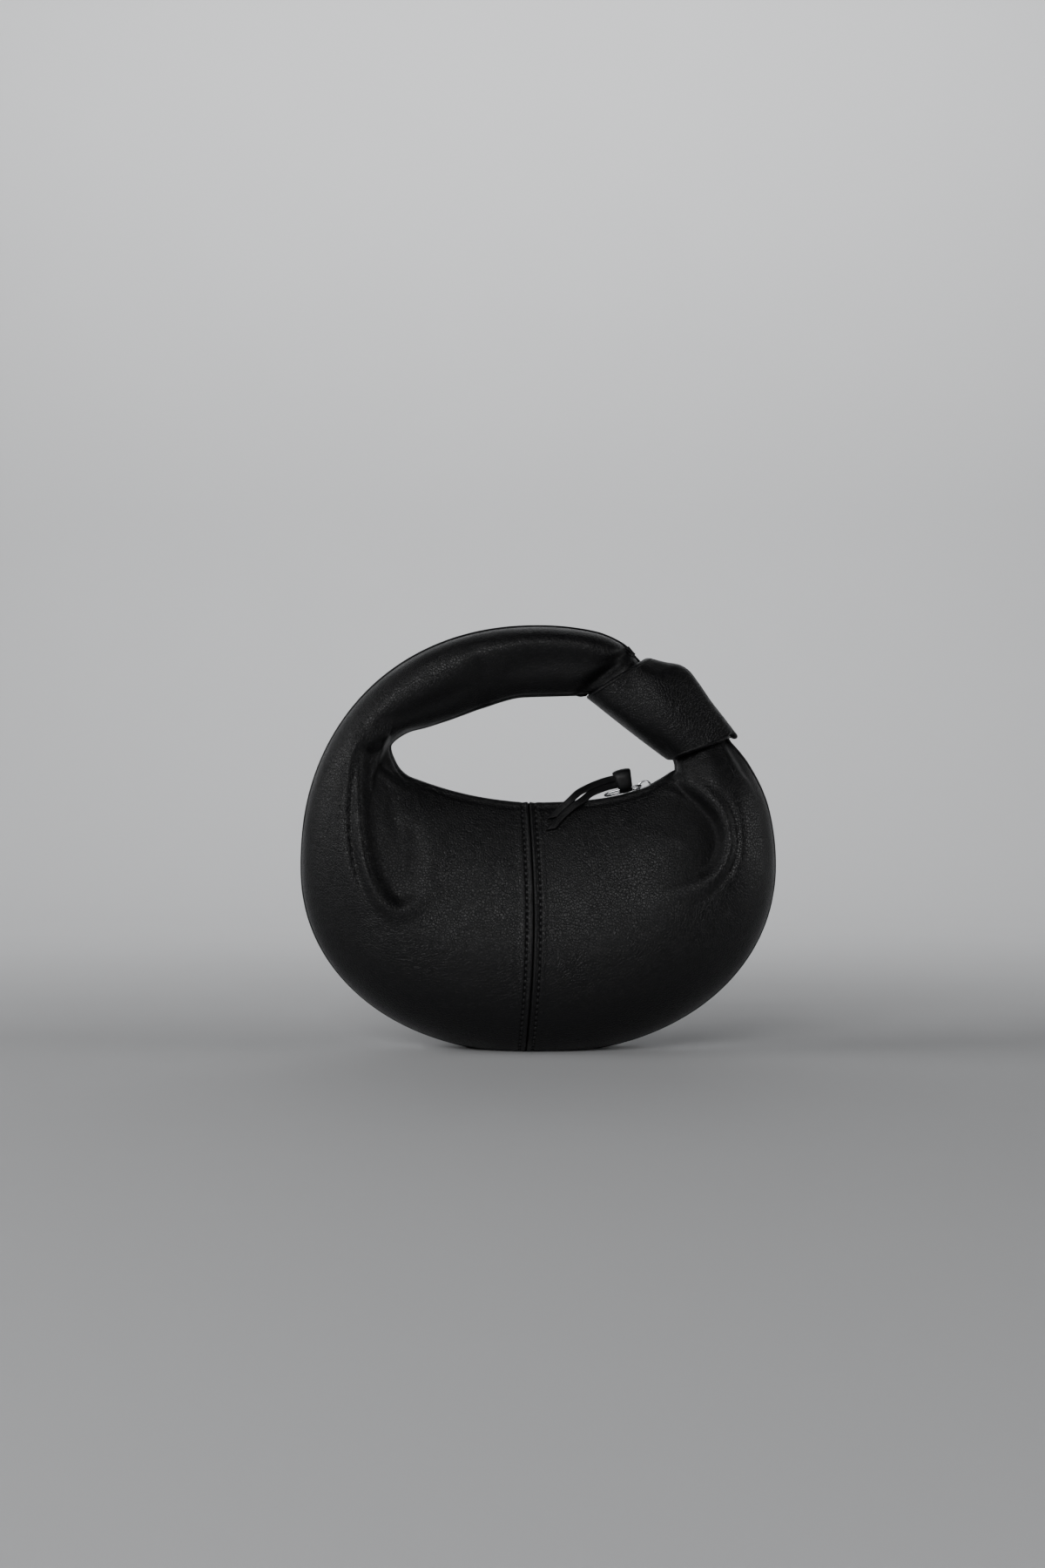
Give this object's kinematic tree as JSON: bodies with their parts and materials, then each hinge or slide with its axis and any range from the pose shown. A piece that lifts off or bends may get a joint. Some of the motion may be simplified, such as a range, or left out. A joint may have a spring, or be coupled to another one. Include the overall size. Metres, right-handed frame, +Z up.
{
  "type": "handbag",
  "caption": "Small bowl-shaped leather bag whose rounded body narrows into a top handle tied in a knot, with a zipped mouth and a leather zip pull.",
  "frame": {"origin": "on the floor, under the middle of the bag's bounding box", "axes": "+X to the viewer's right seen from the front, +Y from the front to the back, +Z up; the front, with the pull hanging over it, faces -Y"},
  "size_m": [0.2508, 0.076, 0.2235],
  "materials": {
    "leather": "soft semi-matt black with a fine grain",
    "edging": "black painted edge",
    "zip_tape": "black woven tape",
    "metal": "bright silver"
  },
  "bodies": {
    "root": {"front_panel_left": "leather", "front_panel_right": "leather", "back_panel_left": "leather", "back_panel_right": "leather", "seam_edging": "edging", "knot_wrap": "leather", "zip_tape": "zip_tape", "zip_chain": "metal", "zip_slider": "metal", "pull_link": "metal", "pull_lace": "leather"}
  },
  "joints": []
}
